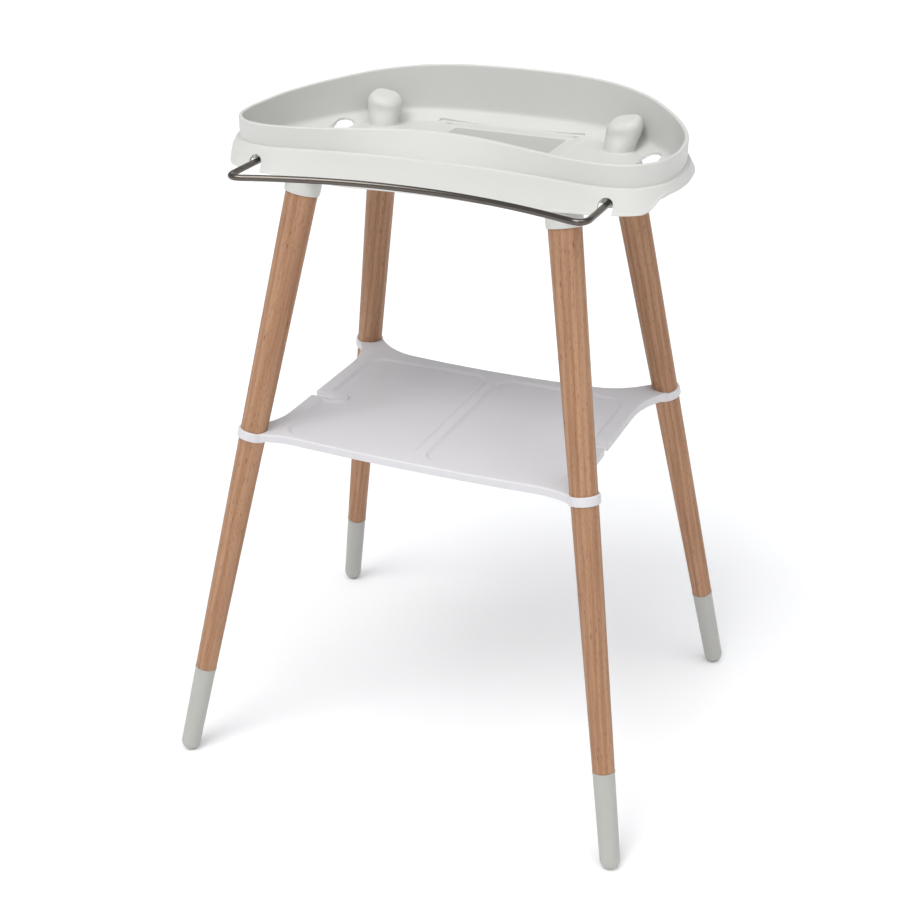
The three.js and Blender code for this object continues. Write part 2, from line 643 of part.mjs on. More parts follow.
// Hollow bays under the shelf, between its edge and its ribs.
function underBays(side) {
  const ceiling = SHELF_TOP_Z - TRAY.depth - SHELF_SKIN;
  const floor = SHELF_TOP_Z - SHELF_THICKNESS - BEYOND;
  let bays = null;
  for (const [x0, x1] of BAY_COLUMNS) {
    for (const [y0, y1] of BAY_ROWS) {
      const [a, b] = side.sx > 0 ? [x0, x1] : [-x1, -x0];
      const outline = roundedRectangle(a, b, y0, y1, BAY_RADIUS);
      const bay = toSolid(upright(outline, floor, ceiling, 1));
      bays = bays ? bays.add(bay) : bay;
    }
  }
  return bays;
}

function shelfGeometry() {
  const plate = upright(shelfOutline(), SHELF_TOP_Z - SHELF_THICKNESS, SHELF_TOP_Z);
  let shelf = toSolid(plate);
  for (const corner of CORNERS) shelf = shelf.add(shelfRing(corner));
  for (const side of SIDES) {
    shelf = shelf.subtract(trayCut(side)).subtract(underBays(side)).subtract(sideSlot(side, 0));
  }
  for (const corner of CORNERS) shelf = shelf.subtract(shelfBore(corner));
  return toGeometry(shelf);
}

// ---------------------------------------------------------------- assembly

function material(color, roughness, metalness = 0) {
  return new THREE.MeshStandardMaterial({ color, roughness, metalness });
}

const whitePlastic = () => material(0xe6e6e0, 0.45);
const shelfPlastic = () => material(0xdddbe0, 0.5);
const beech = () => material(0xb98e6b, 0.55);
const capPlastic = () => material(0xdcdcd4, 0.5);
const steel = () => material(0xa8a49c, 0.3, 1);
const brass = () => material(0xb8964e, 0.35, 1);

function piece(name, geometry, pieceMaterial) {
  const mesh = new THREE.Mesh(geometry, pieceMaterial);
  mesh.name = name;
  return mesh;
}

function legAssembly(corner) {
  const group = new THREE.Group();
  legFrame(corner).decompose(group.position, group.quaternion, group.scale);
  group.add(
    piece(`leg_${corner.name}`, legGeometry(), beech()),
    piece(`foot_cap_${corner.name}`, footCap(corner), capPlastic()),
    piece(`leg_stud_${corner.name}`, studGeometry(), steel()),
    piece(`socket_insert_${corner.name}`, insertGeometry(), brass()),
  );
  return group;
}

const changingTable = new THREE.Group();
changingTable.add(piece('tub', tubGeometry(), whitePlastic()));
for (const corner of CORNERS) changingTable.add(legAssembly(corner));
changingTable.add(piece('shelf', shelfGeometry(), shelfPlastic()));
changingTable.add(piece('towel_rail', railGeometry(), steel()));
for (const side of SIDES) {
  const screw = piece(`rail_screw_${side.name}`, railScrewGeometry(), steel());
  const top = RAIL_Z - RAIL_RADIUS - GAP;
  screw.position.set(side.sx * RAIL_X, RAIL_SCREW.y, top - RAIL_SCREW.length / 2);
  changingTable.add(screw);
}

export default changingTable;
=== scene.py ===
import math

import bmesh
import bpy
from mathutils import Matrix, Vector


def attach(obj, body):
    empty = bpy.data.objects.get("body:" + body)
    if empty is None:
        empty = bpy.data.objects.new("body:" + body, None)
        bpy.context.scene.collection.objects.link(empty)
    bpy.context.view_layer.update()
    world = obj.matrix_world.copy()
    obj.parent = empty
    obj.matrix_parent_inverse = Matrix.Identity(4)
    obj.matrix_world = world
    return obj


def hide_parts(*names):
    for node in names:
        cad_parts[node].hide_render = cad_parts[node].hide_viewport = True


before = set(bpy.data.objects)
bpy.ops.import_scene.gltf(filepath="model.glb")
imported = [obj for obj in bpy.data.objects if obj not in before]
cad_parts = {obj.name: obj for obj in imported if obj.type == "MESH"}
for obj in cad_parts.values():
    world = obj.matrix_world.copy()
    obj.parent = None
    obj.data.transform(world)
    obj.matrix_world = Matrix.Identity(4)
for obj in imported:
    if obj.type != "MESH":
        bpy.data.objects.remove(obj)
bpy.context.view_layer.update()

MM = 0.001

# ------------------------------------------------------------------ sizes, in millimetres

FOOT_X, FOOT_Y, FOOT_RADIUS, FOOT_CENTRE_Z = 318.5, 262.3, 13.5, 13.0
SPLAY, LEG_TAPER = 0.1768, 0.009
LEAN = math.sqrt(1 + 2 * SPLAY ** 2)
CAP_LENGTH, SHOULDER_Z, TENON_RADIUS, TENON_TOP_Z = 124, 823, 14, 857
GAP = 0.3
BEYOND = 20  # how far a cutting shape reaches past what it cuts
INSERT_RADIUS, INSERT_LENGTH, STUD_HOLE_RADIUS, STUD_HOLE_DEPTH = 7, 11, 4.3, 35

FLOOR_Z, LEDGE_Z, RIM_FRONT_Z = 847, 868, 896
RIM_FRONT_CROWN, RIM_RISE, RIM_RISE_FROM_Y, RIM_RISE_POWER = 5, 26, -40, 1.9
SKIRT_FRONT_Z, SKIRT_SIDE_Z = 841, 857
SKIRT_DROP, SKIRT_DROP_HALF, SKIRT_SIDE_BLEND = 20, 275, (-119, -92)
FLOOR_EDGE_RISE, FLOOR_REAR_RISE, REAR_BLEND, REAR_LEAN = 4, 5.5, (60, 160), 4
WAIST_HALF, WAIST_SETBACK = 190, 16
FLARE_SIDE, FLARE_FRONT, FLARE_WAIST, FLARE_BLEND = 7, 16, 6, (-122, -95)
LEDGE_OUT = 1.8
REAR_BOSS_Z, FRONT_BOSS_Z = 884, 878
COLLAR_BOTTOM_Z, COLLAR_RADIUS = 812, 23.5
SLEEVE_WAIST_Z, SLEEVE_NECK_Z, SLEEVE_TOP_Z = 831, 849, 858
# A boss's outline at one level: offset from the leg's axis, half sizes and corner radius.
REAR_BOSS_FOOT = (5.2, -1.0, 20.2, 20.2, 20.1)
REAR_BOSS_HEAD = (8.0, 10.0, 23.5, 21.5, 18.5)
FRONT_BOSS = (8, -6, 21, 19, 18.9)
RECESS_DEPTH, RECESS_HALF, RECESS_BEVEL, RECESS_RADIUS = 7, 81, 23, 3.5
RECESS_FRONT, RECESS_BACK = -50, 153.5
TRAY_HALF, TRAY_FRONT, TRAY_BACK = 107, -56, 162
END_SLOT_X, END_SLOT_FRONT, END_SLOT_BACK, END_SLOT_RADIUS = 219, 47, 87, 11
LEDGE_PLAN = [(0, -110), (70, -112), (130, -118), (185, -127), (224, -131), (259, -121),
              (284, -93), (293, -53), (292, -12), (284, 30), (264, 72), (235, 109), (196, 145),
              (147, 172), (88, 187), (0, 192)]
RAIL_X, RAIL_Z, RAIL_RADIUS, RAIL_CORNER_Y, RAIL_MIDDLE_Y = 232, 850, 4, -216, -170
RAIL_END_Y, RAIL_SOCKET_FRONT, RAIL_SOCKET_BACK, RAIL_SOCKET_RADIUS = -92, -122, -86, 8
RAIL_BEND, RAIL_BORE_RADIUS, RAIL_SCREW_Y, RAIL_SCREW_HOLE = 16, 4.35, -104, 2.3
NOTCH_HALF, NOTCH_TOP, NOTCH_BOTTOM, NOTCH_FRONT, NOTCH_BACK = 9, 859, 810, -160, -121.6

SHELF_TOP_Z, SHELF_THICKNESS, SHELF_HALF = 492, 11.5, 217
RING_WALL, RING_HALF_HEIGHT = 2.6, 6.2
SHELF_TRAY = {"inner": 8, "outer": 196, "front": -170, "back": 116, "radius": 26}
SIDE_SLOT_Y, SIDE_SLOT_END, SIDE_SLOT_RADIUS, SIDE_SLOT_OPEN = -37, 180, 7.5, 260
BAY_COLUMNS, BAY_ROWS = ((5, 100), (103, 205)), ((-174, -62), (-12, 56), (59, 124))
BAY_RADIUS = 6
PIN_X, PIN_Y, PIN_RADIUS = 168, -28.5, 1.3
CORNERS = {"front_left": (-1, -1), "front_right": (1, -1),
           "rear_left": (-1, 1), "rear_right": (1, 1)}


def along(z):
    return (z - FOOT_CENTRE_Z) * LEAN


def leg_radius(s):
    return FOOT_RADIUS + LEG_TAPER * s


def axis_x(z):
    return FOOT_X - SPLAY * (z - FOOT_CENTRE_Z)


def axis_y(z):
    return FOOT_Y - SPLAY * (z - FOOT_CENTRE_Z)


def smoothstep(start, end, value):
    t = min(max((value - start) / (end - start), 0), 1)
    return t * t * (3 - 2 * t)


def leg_matrix(sx, sy):
    direction = Vector((-sx * SPLAY, -sy * SPLAY, 1)).normalized()
    turn = Vector((0, 0, 1)).rotation_difference(direction)
    foot = Matrix.Translation(Vector((sx * FOOT_X, sy * FOOT_Y, FOOT_CENTRE_Z)) * MM)
    return foot @ turn.to_matrix().to_4x4()


# ------------------------------------------------------------------ mesh helpers

def mesh_object(name, rings, matrix=None):
    """A closed skin through rings of points in millimetres; a ring of one point is a pole."""
    mesh = bmesh.new()
    rows = [[mesh.verts.new(Vector(p) * MM) for p in ring] for ring in rings]
    for low, high in zip(rows, rows[1:]):
        count = max(len(low), len(high))
        for i in range(count):
            j = (i + 1) % count
            if len(low) == 1:
                mesh.faces.new((low[0], high[j], high[i]))
            elif len(high) == 1:
                mesh.faces.new((low[i], low[j], high[0]))
            else:
                mesh.faces.new((low[i], low[j], high[j], high[i]))
    for row in (rows[0], rows[-1]):
        if len(row) > 2:
            mesh.faces.new(row)
    bmesh.ops.recalc_face_normals(mesh, faces=mesh.faces)
    data = bpy.data.meshes.new(name)
    mesh.to_mesh(data)
    mesh.free()
    made = bpy.data.objects.new(name, data)
    bpy.context.scene.collection.objects.link(made)
    if matrix is not None:
        made.matrix_world = matrix
    return made


def combine(base, others, operation):
    """Joins the others to the base, or cuts them from it."""
    group = bpy.data.collections.new("operands")
    bpy.context.scene.collection.children.link(group)
    for other in others:
        group.objects.link(other)
    step = base.modifiers.new("join", "BOOLEAN")
    step.operation = operation
    step.solver = "EXACT"
    step.operand_type = "COLLECTION"
    step.collection = group
    bpy.context.view_layer.update()
    view = base.evaluated_get(bpy.context.evaluated_depsgraph_get())
    data = bpy.data.meshes.new_from_object(view)
    base.modifiers.clear()
    base.data = data
    for other in others:
        bpy.data.objects.remove(other)
    bpy.data.collections.remove(group)


def shade(thing, angle=32):
    thing.data.polygons.foreach_set("use_smooth", [True] * len(thing.data.polygons))
    thing.data.set_sharp_from_angle(angle=math.radians(angle))
    weigh = thing.modifiers.new("even shading", "WEIGHTED_NORMAL")
    weigh.keep_sharp = True
    weigh.weight = 80


def circle(radius, z, count=96, x=0, y=0):
    if radius <= 0:
        return [(x, y, z)]
    step = 2 * math.pi / count
    return [(x + radius * math.cos(i * step), y + radius * math.sin(i * step), z)
            for i in range(count)]


def turned(name, profile, matrix=None, count=96):
    return mesh_object(name, [circle(r, z, count) for r, z in profile], matrix)


def filleted(points, steps=5):
    """Rounds the corners of an open line of (a, b, radius)."""
    line = [Vector(points[0][:2])]
    for before, here, after in zip(points, points[1:], points[2:]):
        corner = Vector(here[:2])
        back = Vector(before[:2]) - corner
        ahead = Vector(after[:2]) - corner
        reach = min(here[2], 0.49 * back.length, 0.49 * ahead.length)
        if reach <= 0:
            line.append(corner)
            continue
        start = corner + back.normalized() * reach
        end = corner + ahead.normalized() * reach
        for i in range(steps + 1):
            t = i / steps
            line.append(start * (1 - t) ** 2 + corner * 2 * t * (1 - t) + end * t * t)
    line.append(Vector(points[-1][:2]))
    return line


def curve_through(points, per_span=24):
    """A closed smooth curve through plan points, evenly dense between them."""
    plan = [Vector(p) for p in points]
    count = len(plan)
    line = []
    for i in range(count):
        a, b, c, d = (plan[(i + k) % count] for k in (-1, 0, 1, 2))
        t1 = (b - a).length ** 0.5
        t2 = t1 + (c - b).length ** 0.5
        t3 = t2 + (d - c).length ** 0.5
        for k in range(per_span):
            t = t1 + (t2 - t1) * k / per_span
            ab = a.lerp(b, t / t1)
            bc = b.lerp(c, (t - t1) / (t2 - t1))
            cd = c.lerp(d, (t - t2) / (t3 - t2))
            left = ab.lerp(bc, t / t2)
            right = bc.lerp(cd, (t - t1) / (t3 - t1))
            line.append(left.lerp(right, (t - t1) / (t2 - t1)))
    return line


def resampled(line, count):
    """Even steps round a closed line."""
    lengths = [(line[(i + 1) % len(line)] - p).length for i, p in enumerate(line)]
    total = sum(lengths)
    out, i, passed = [], 0, 0.0
    for k in range(count):
        target = total * k / count
        while passed + lengths[i] < target:
            passed += lengths[i]
            i += 1
        share = (target - passed) / lengths[i]
        out.append(line[i].lerp(line[(i + 1) % len(line)], share))
    return out


def outward_normals(line):
    normals = []
    for i in range(len(line)):
        tangent = (line[(i + 1) % len(line)] - line[i - 1]).normalized()
        normals.append(Vector((tangent.y, -tangent.x)))
    return normals


def rounded_rectangle(x0, x1, y0, y1, radius, grow=0.0, per_corner=14):
    r = max(radius + grow, 0.2)
    x0, x1, y0, y1 = x0 - grow, x1 + grow, y0 - grow, y1 + grow
    line = []
    for cx, cy, start in ((x1 - r, y0 + r, -90), (x1 - r, y1 - r, 0),
                          (x0 + r, y1 - r, 90), (x0 + r, y0 + r, 180)):
        for i in range(per_corner + 1):
            angle = math.radians(start + 90 * i / per_corner)
            line.append((cx + r * math.cos(angle), cy + r * math.sin(angle)))
    return line


def stadium(x0, y0, x1, y1, radius, per_end=20):
    heading = math.atan2(y1 - y0, x1 - x0)
    line = []
    for cx, cy, start in ((x1, y1, heading - math.pi / 2), (x0, y0, heading + math.pi / 2)):
        for i in range(per_end + 1):
            angle = start + math.pi * i / per_end
            line.append((cx + radius * math.cos(angle), cy + radius * math.sin(angle)))
    return line


def at(line, z):
    return [(p[0], p[1], z) for p in line]


# ------------------------------------------------------------------ tub

STATIONS = 420
right = LEDGE_PLAN
left = [(-x, y) for x, y in reversed(LEDGE_PLAN[1:-1])]
ledge_line = resampled(curve_through(right + left), STATIONS)
ledge_out = outward_normals(ledge_line)


def front_wave(x, y, half_width):
    if y >= 0 or abs(x) >= half_width:
        return 0
    return math.cos(math.pi * x / (2 * half_width)) ** 2


def tub_station(point):
    x, y = point
    waist = front_wave(x, y, WAIST_HALF)
    rear = smoothstep(*REAR_BLEND, y)
    climb = max(y - RIM_RISE_FROM_Y, 0) / (LEDGE_PLAN[-1][1] - RIM_RISE_FROM_Y)
    flare_front = (FLARE_FRONT - FLARE_SIDE) * (1 - smoothstep(*FLARE_BLEND, y))
    skirt_front = SKIRT_FRONT_Z - SKIRT_DROP * front_wave(x, y, SKIRT_DROP_HALF)
    skirt_rise = (SKIRT_SIDE_Z - skirt_front) * smoothstep(*SKIRT_SIDE_BLEND, y)
    return {
        "lean": REAR_LEAN * rear - WAIST_SETBACK * waist,
        "flare": FLARE_SIDE + flare_front + FLARE_WAIST * waist,
        "rim": RIM_FRONT_Z + RIM_FRONT_CROWN * waist + RIM_RISE * climb ** RIM_RISE_POWER,
        "foot": FLOOR_Z + FLOOR_EDGE_RISE + FLOOR_REAR_RISE * rear,
        "skirt": skirt_front + skirt_rise,
    }


def tub_section(place):
    """The tub's section, from its floor over the rim, the ledge and the skirt to below."""
    lean, flare, rim = place["lean"], place["flare"], place["rim"]
    foot, skirt = place["foot"], place["skirt"]
    slope = (flare - LEDGE_OUT) / (LEDGE_Z - 1 - skirt)
    bead = LEDGE_OUT + slope * (LEDGE_Z - 1 - skirt - 3.4)
    return filleted([
        (-36, FLOOR_Z, 0),
        (-33, FLOOR_Z + 0.05, 2),
        (-9, foot, 7),
        (-8.2 + 0.55 * lean, (LEDGE_Z + rim) / 2, 10),
        (-8.0 + lean, rim, 2.4),
        (-2.7 + lean, rim, 2.4),
        (-3.0, LEDGE_Z + 0.5, 0.7),
        (LEDGE_OUT, LEDGE_Z + 0.1, 0.8),
        (bead - 0.1, skirt + 3.7, 0.3),
        (bead + 0.7, skirt + 3.2, 0.3),
        (flare + 0.7, skirt, 1.1),
        (flare - 2.6, skirt, 0.8),
        (-3.0, LEDGE_Z - 6, 4),
        (-6.0, foot - 3.5, 2),
        (-13, foot - 4, 4),
        (-34, FLOOR_Z - 4, 3),
        (-36, FLOOR_Z - 4, 0),
    ])


def ring_offset(offsets, heights):
    return [(p.x + n.x * o, p.y + n.y * o, z)
            for p, n, o, z in zip(ledge_line, ledge_out, offsets, heights)]


places = [tub_station(p) for p in ledge_line]
sections = [tub_section(place) for place in places]
shell_rings = []
for k in range(len(sections[0])):
    shell_rings.append(ring_offset([s[k].x for s in sections], [s[k].y for s in sections]))
tub = mesh_object("tub_moulding", shell_rings)

additions = []
cutters = []


def socket_sleeve(sx, sy):
    low = along(COLLAR_BOTTOM_Z)
    profile = filleted([
        (0, low, 0), (leg_radius(low) + 2.0, low, 0.9), (COLLAR_RADIUS, low + 10, 5),
        (COLLAR_RADIUS - 0.8, along(SLEEVE_WAIST_Z), 4),
        (TENON_RADIUS + 4.3, along(SLEEVE_NECK_Z), 3),
        (TENON_RADIUS + 2.4, along(SLEEVE_TOP_Z), 1), (0, along(SLEEVE_TOP_Z), 0)], 6)
    return turned("sleeve", [(p.x, p.y) for p in profile], leg_matrix(sx, sy))


def around(cx, cy, half_width, half_depth, radius, grow=0.0, steps=96):
    """A rounded rectangle as seen from its middle, one point for each bearing."""
    flat_x, flat_y = half_width - radius, half_depth - radius
    r = radius + grow
    line = []
    for i in range(steps):
        angle = 2 * math.pi * i / steps
        dx, dy = math.cos(angle), math.sin(angle)
        reach = 1e9
        if abs(dx) > 1e-9:
            t = (flat_x + r) / abs(dx)
            if abs(t * dy) <= flat_y:
                reach = t
        if abs(dy) > 1e-9:
            t = (flat_y + r) / abs(dy)
            if abs(t * dx) <= flat_x:
                reach = min(reach, t)
        if reach > 1e8:
            dot = flat_x * abs(dx) + flat_y * abs(dy)
            reach = dot + math.sqrt(max(dot * dot - flat_x ** 2 - flat_y ** 2 + r * r, 0))
        line.append((cx + reach * dx, cy + reach * dy))
    return line


def boss_ring(sx, sy, blend, height, grow, tilt):
    """One level of a boss: a round foot turns into a squarer head that leans out and back."""
    level = REAR_BOSS_Z if sy > 0 else FRONT_BOSS_Z
    x, y = axis_x(level), axis_y(level)
    foot, head = (REAR_BOSS_FOOT, REAR_BOSS_HEAD) if sy > 0 else (FRONT_BOSS, FRONT_BOSS)
    dx, dy, half_width, half_depth, radius = (a + (b - a) * blend for a, b in zip(foot, head))
    slope = SPLAY if sy > 0 else SPLAY / 2
    span = level - FLOOR_Z
    ring = []
    for px, py in around(sx * (x + dx), sy * (y + dy), half_width, half_depth, radius, grow):
        top = level + slope * ((abs(px) - x) + (abs(py) - y)) * tilt
        ring.append((px, py, FLOOR_Z + (top - FLOOR_Z) * height / span))
    return ring


def boss(sx, sy):
    span = (REAR_BOSS_Z if sy > 0 else FRONT_BOSS_Z) - FLOOR_Z
    edge = 12.0
    rings = [boss_ring(sx, sy, 0, -2, 3, 0)]
    for i in range(7):
        angle = math.radians(15 * i)
        rings.append(boss_ring(sx, sy, 0, 3 * (1 - math.cos(angle)) + 0.05,
                               3 * (1 - math.sin(angle)), 0))
    for i in range(1, 15):
        t = i / 14
        rings.append(boss_ring(sx, sy, smoothstep(-0.15, 1.1, t), 3 + (span - 3 - edge) * t,
                               0, t))
    for i in range(1, 9):
        angle = math.radians(90 * i / 8)
        rings.append(boss_ring(sx, sy, 1, span - edge + edge * math.sin(angle),
                               -edge * (1 - math.cos(angle)), 1))
    return mesh_object("boss", rings)


def socket_bore(sx, sy):
    start = along(COLLAR_BOTTOM_Z) - BEYOND
    seat = along(SHOULDER_Z) + GAP
    end = along(TENON_TOP_Z) + GAP
    top = end + INSERT_LENGTH + GAP
    return turned("bore", [
        (0, start), (leg_radius(start) + 0.35, start), (leg_radius(seat) + 0.35, seat),
        (TENON_RADIUS + GAP, seat), (TENON_RADIUS + GAP, end), (INSERT_RADIUS + GAP, end),
        (INSERT_RADIUS + GAP, top), (0, top)], leg_matrix(sx, sy))


for sx, sy in CORNERS.values():
    additions += [socket_sleeve(sx, sy), boss(sx, sy)]
    cutters.append(socket_bore(sx, sy))

# The boss of a front leg keeps inside the wall of the tub.
TRIM_LOW_Z, TRIM_HIGH_Z, TRIM_REACH = LEDGE_Z - 3.8, 950, 420
middle_of_wall = [-5.0 + min(0.5 * place["lean"], 0) for place in places]
keep = mesh_object("keep", [ring_offset(middle_of_wall, [z] * STATIONS)
                            for z in (TRIM_LOW_Z, TRIM_HIGH_Z + 10)])
around_tub = rounded_rectangle(-TRIM_REACH, TRIM_REACH, -TRIM_REACH, TRIM_REACH, 5)
outside = mesh_object("outside", [at(around_tub, z) for z in (TRIM_LOW_Z, TRIM_HIGH_Z)])
combine(outside, [keep], "DIFFERENCE")
for piece in [o for o in additions if o.name.startswith("boss")]:
    if piece.data.vertices[0].co.y < 0:
        spare = outside.copy()
        bpy.context.scene.collection.objects.link(spare)
        combine(piece, [spare], "DIFFERENCE")
bpy.data.objects.remove(outside)

# Recess in the floor, with bevelled ends and softened lips, and the tray that closes it.
RECESS_Z = FLOOR_Z - RECESS_DEPTH
additions.append(mesh_object("tray", [
    at(rounded_rectangle(-TRAY_HALF, TRAY_HALF, TRAY_FRONT, TRAY_BACK, 8, grow), FLOOR_Z - down)
    for grow, down in ((-1.5, 11), (-0.4, 10.6), (0, 9.5), (0, 3))]))


def recess_ring(z, grow):
    share = min(max((z - RECESS_Z) / RECESS_DEPTH, 0), 1)
    half = RECESS_HALF + RECESS_BEVEL * share + grow
    front = RECESS_FRONT - 0.6 * share - grow
    back = RECESS_BACK + 3.5 * share + grow
    return at(rounded_rectangle(-half, half, front, back, RECESS_RADIUS), z)


cutters.append(mesh_object("recess", [
    recess_ring(RECESS_Z + up, grow) for up, grow in (
        (0, -0.8), (0.25, -0.1), (1, 0.2), (6.1, 0.2), (6.6, 0.5), (6.95, 1.1), (7.1, 2.2),
        (18, 2.4))]))
GATE_MARK_Y = 105
cutters.append(turned("gate_mark", [
    (0, RECESS_Z - 0.3), (1.6, RECESS_Z - 0.2), (1.9, RECESS_Z + 0.4), (0, RECESS_Z + 0.5)],
    Matrix.Translation((0, GATE_MARK_Y * MM, 0)), 24))

for sx in (-1, 1):
    x = sx * END_SLOT_X
    slot_rings = []
    for up, grow in ((-15, 1.6), (-4.1, 1.4), (-3.4, 0.3), (-2.7, 0), (-1.4, 0),
                     (-0.6, 0.3), (-0.05, 1.0), (0.2, 2.0), (13, 2.2)):
        slot_rings.append(at(stadium(x, END_SLOT_FRONT, x, END_SLOT_BACK, END_SLOT_RADIUS + grow),
                             FLOOR_Z + up))
    cutters.append(mesh_object("end_slot", slot_rings))

    # The rail's socket is turned about an axis that points to the front.
    x = sx * RAIL_X
    turn = Matrix.Rotation(math.radians(90), 4, "X")
    place = Matrix.Translation(Vector((x, 0, RAIL_Z)) * MM) @ turn
    additions.append(turned("rail_socket", [
        (0, -RAIL_SOCKET_FRONT), (RAIL_SOCKET_RADIUS - 1, -RAIL_SOCKET_FRONT),
        (RAIL_SOCKET_RADIUS, -RAIL_SOCKET_FRONT - 1),
        (RAIL_SOCKET_RADIUS, -RAIL_SOCKET_BACK), (0, -RAIL_SOCKET_BACK)], place, 48))
    bore_start, bore_end = -NOTCH_FRONT, -RAIL_END_Y - GAP
    cutters.append(turned("rail_bore", [
        (0, bore_start), (RAIL_BORE_RADIUS, bore_start), (RAIL_BORE_RADIUS, bore_end),
        (0, bore_end)], place, 48))
    cutters.append(mesh_object("screw_bore", [
        circle(RAIL_SCREW_HOLE, z, 24, x, RAIL_SCREW_Y) for z in (RAIL_Z - 14, RAIL_Z)]))
    arch = [(x + NOTCH_HALF, NOTCH_BOTTOM)]
    for i in range(25):
        angle = math.pi * i / 24
        arch.append((x + NOTCH_HALF * math.cos(angle),
                     NOTCH_TOP - NOTCH_HALF + NOTCH_HALF * math.sin(angle)))
    arch.append((x - NOTCH_HALF, NOTCH_BOTTOM))
    cutters.append(mesh_object("notch", [
        [(px, y, pz) for px, pz in arch] for y in (NOTCH_FRONT, NOTCH_BACK)]))

combine(tub, additions, "UNION")
combine(tub, cutters, "DIFFERENCE")
shade(tub)

# ------------------------------------------------------------------ legs and foot caps

legs, caps = {}, {}
for name, (sx, sy) in CORNERS.items():
    matrix = leg_matrix(sx, sy)
    top = along(SHOULDER_Z)
    tenon = along(TENON_TOP_Z)
    core = CAP_LENGTH
    profile = [(0, 4), (leg_radius(4) - 3.5, 4), (leg_radius(6) - 2, 6),
               (leg_radius(core) - 2, core), (leg_radius(core) - 0.5, core),
               (leg_radius(core + 0.6), core + 0.8)]
    steps = [core + (top - 1 - core) * i / 24 for i in range(1, 25)]
    profile += [(leg_radius(s), s) for s in steps]
    profile += [(leg_radius(top) - 1, top), (TENON_RADIUS, top), (TENON_RADIUS, tenon - 1),
                (TENON_RADIUS - 1, tenon), (STUD_HOLE_RADIUS, tenon),
                (STUD_HOLE_RADIUS, tenon - STUD_HOLE_DEPTH), (0, tenon - STUD_HOLE_DEPTH)]
    legs[name] = turned("beech_leg_" + name, profile, matrix, 112)
    shade(legs[name], 40)
    end = CAP_LENGTH - GAP
    ball = [(FOOT_RADIUS * math.cos(math.radians(a)), FOOT_RADIUS * math.sin(math.radians(a)))
            for a in range(-86, 0, 5)]
    outside_profile = [(0, -FOOT_RADIUS)] + ball
    outside_profile += [(leg_radius(s), s) for s in (0, 30, 60, 90, end - 3.2)]
    outside_profile += [(leg_radius(end) + 0.15, end - 2.6), (leg_radius(end) + 0.6, end - 2.1),
                        (leg_radius(end) + 0.6, end - 0.6), (leg_radius(end) + 0.2, end - 0.1),
                        (leg_radius(end) - 0.3, end), (leg_radius(end) - 1.6, end),
                        (leg_radius(6) - 1.7, 6), (leg_radius(4) - 3, 3.7), (0, 3.7)]
    caps[name] = turned("foot_cap_moulding_" + name, outside_profile, matrix, 80)
    inverse = matrix.inverted()
    for vertex in caps[name].data.vertices:
        place = matrix @ vertex.co
        if place.z < 0:
            place.z = 0
            vertex.co = inverse @ place
    shade(caps[name], 40)

# ------------------------------------------------------------------ shelf

middle_z = SHELF_TOP_Z - SHELF_THICKNESS / 2
ring_x, ring_y = axis_x(middle_z), axis_y(middle_z)


def quadratic(start, control, end, steps=20):
    return [((1 - t) ** 2 * start[0] + 2 * t * (1 - t) * control[0] + t * t * end[0],
             (1 - t) ** 2 * start[1] + 2 * t * (1 - t) * control[1] + t * t * end[1])
            for t in (i / steps for i in range(1, steps + 1))]


def shelf_outline():
    line = [(0, -187)]
    for control, end in (((90, -187), (165, -182)),
                         ((208, -179.5), (ring_x - 6, -ring_y - 19.5))):
        line += quadratic(line[-1], control, end)
    line += [(ring_x + 8, -ring_y - 8), (ring_x + 12, -ring_y + 6), (ring_x + 3, -ring_y + 18)]
    line += quadratic(line[-1], (SHELF_HALF, -140), (SHELF_HALF, -108))
    line += [(SHELF_HALF, y) for y in range(-96, 96, 12)]
    line += quadratic(line[-1], (SHELF_HALF, 126), (ring_x + 12, ring_y - 12))
    line += [(ring_x + 12, ring_y), (ring_x, ring_y + 12), (ring_x - 13, ring_y + 15)]
    for control, end in (((190, 150), (150, 142)), ((80, 134), (0, 134))):
        line += quadratic(line[-1], control, end)
    right_half = [Vector(p) for p in line]
    left_half = [Vector((-p.x, p.y)) for p in reversed(right_half[1:-1])]
    even = resampled(right_half + left_half, 560)
    for _ in range(6):
        even = [(even[i - 1] + p * 2 + even[(i + 1) % len(even)]) / 4
                for i, p in enumerate(even)]
    return even


outline = shelf_outline()
outline_out = outward_normals(outline)
plate_bottom = SHELF_TOP_Z - SHELF_THICKNESS


def plate_ring(grow, z):
    return [(p.x + n.x * grow, p.y + n.y * grow, z) for p, n in zip(outline, outline_out)]


plate_rings = [plate_ring(-1.2, plate_bottom), plate_ring(-0.5, plate_bottom + 0.2),
               plate_ring(0, plate_bottom + 0.9)]
for i in range(8):
    angle = math.radians(90 * i / 7)
    plate_rings.append(plate_ring(-2.4 * (1 - math.cos(angle)),
                                  SHELF_TOP_Z - 2.4 + 2.4 * math.sin(angle)))
shelf = mesh_object("shelf_moulding", plate_rings)

shelf_additions, shelf_cutters = [], []
for sx, sy in CORNERS.values():
    middle = along(middle_z)
    radius = leg_radius(middle) + GAP + RING_WALL
    shelf_additions.append(turned("ring", [
        (0, middle - RING_HALF_HEIGHT - 0.1), (radius - 1.2, middle - RING_HALF_HEIGHT - 0.1),
        (radius - 0.3, middle - 5.9), (radius, middle - 5.2), (radius, middle + 4.6),
        (radius - 0.4, middle + 5.6), (radius - 1.1, middle + RING_HALF_HEIGHT),
        (0, middle + RING_HALF_HEIGHT)], leg_matrix(sx, sy)))
    start, end = middle - 2 * BEYOND, middle + 2 * BEYOND
    shelf_cutters.append(turned("leg_bore", [
        (0, start), (leg_radius(start) + GAP, start), (leg_radius(end) + GAP, end), (0, end)],
        leg_matrix(sx, sy)))


def on_side(sx, inner, outer):
    """The two x values of a span on one side of the middle, the smaller one first."""
    return (inner, outer) if sx > 0 else (-outer, -inner)


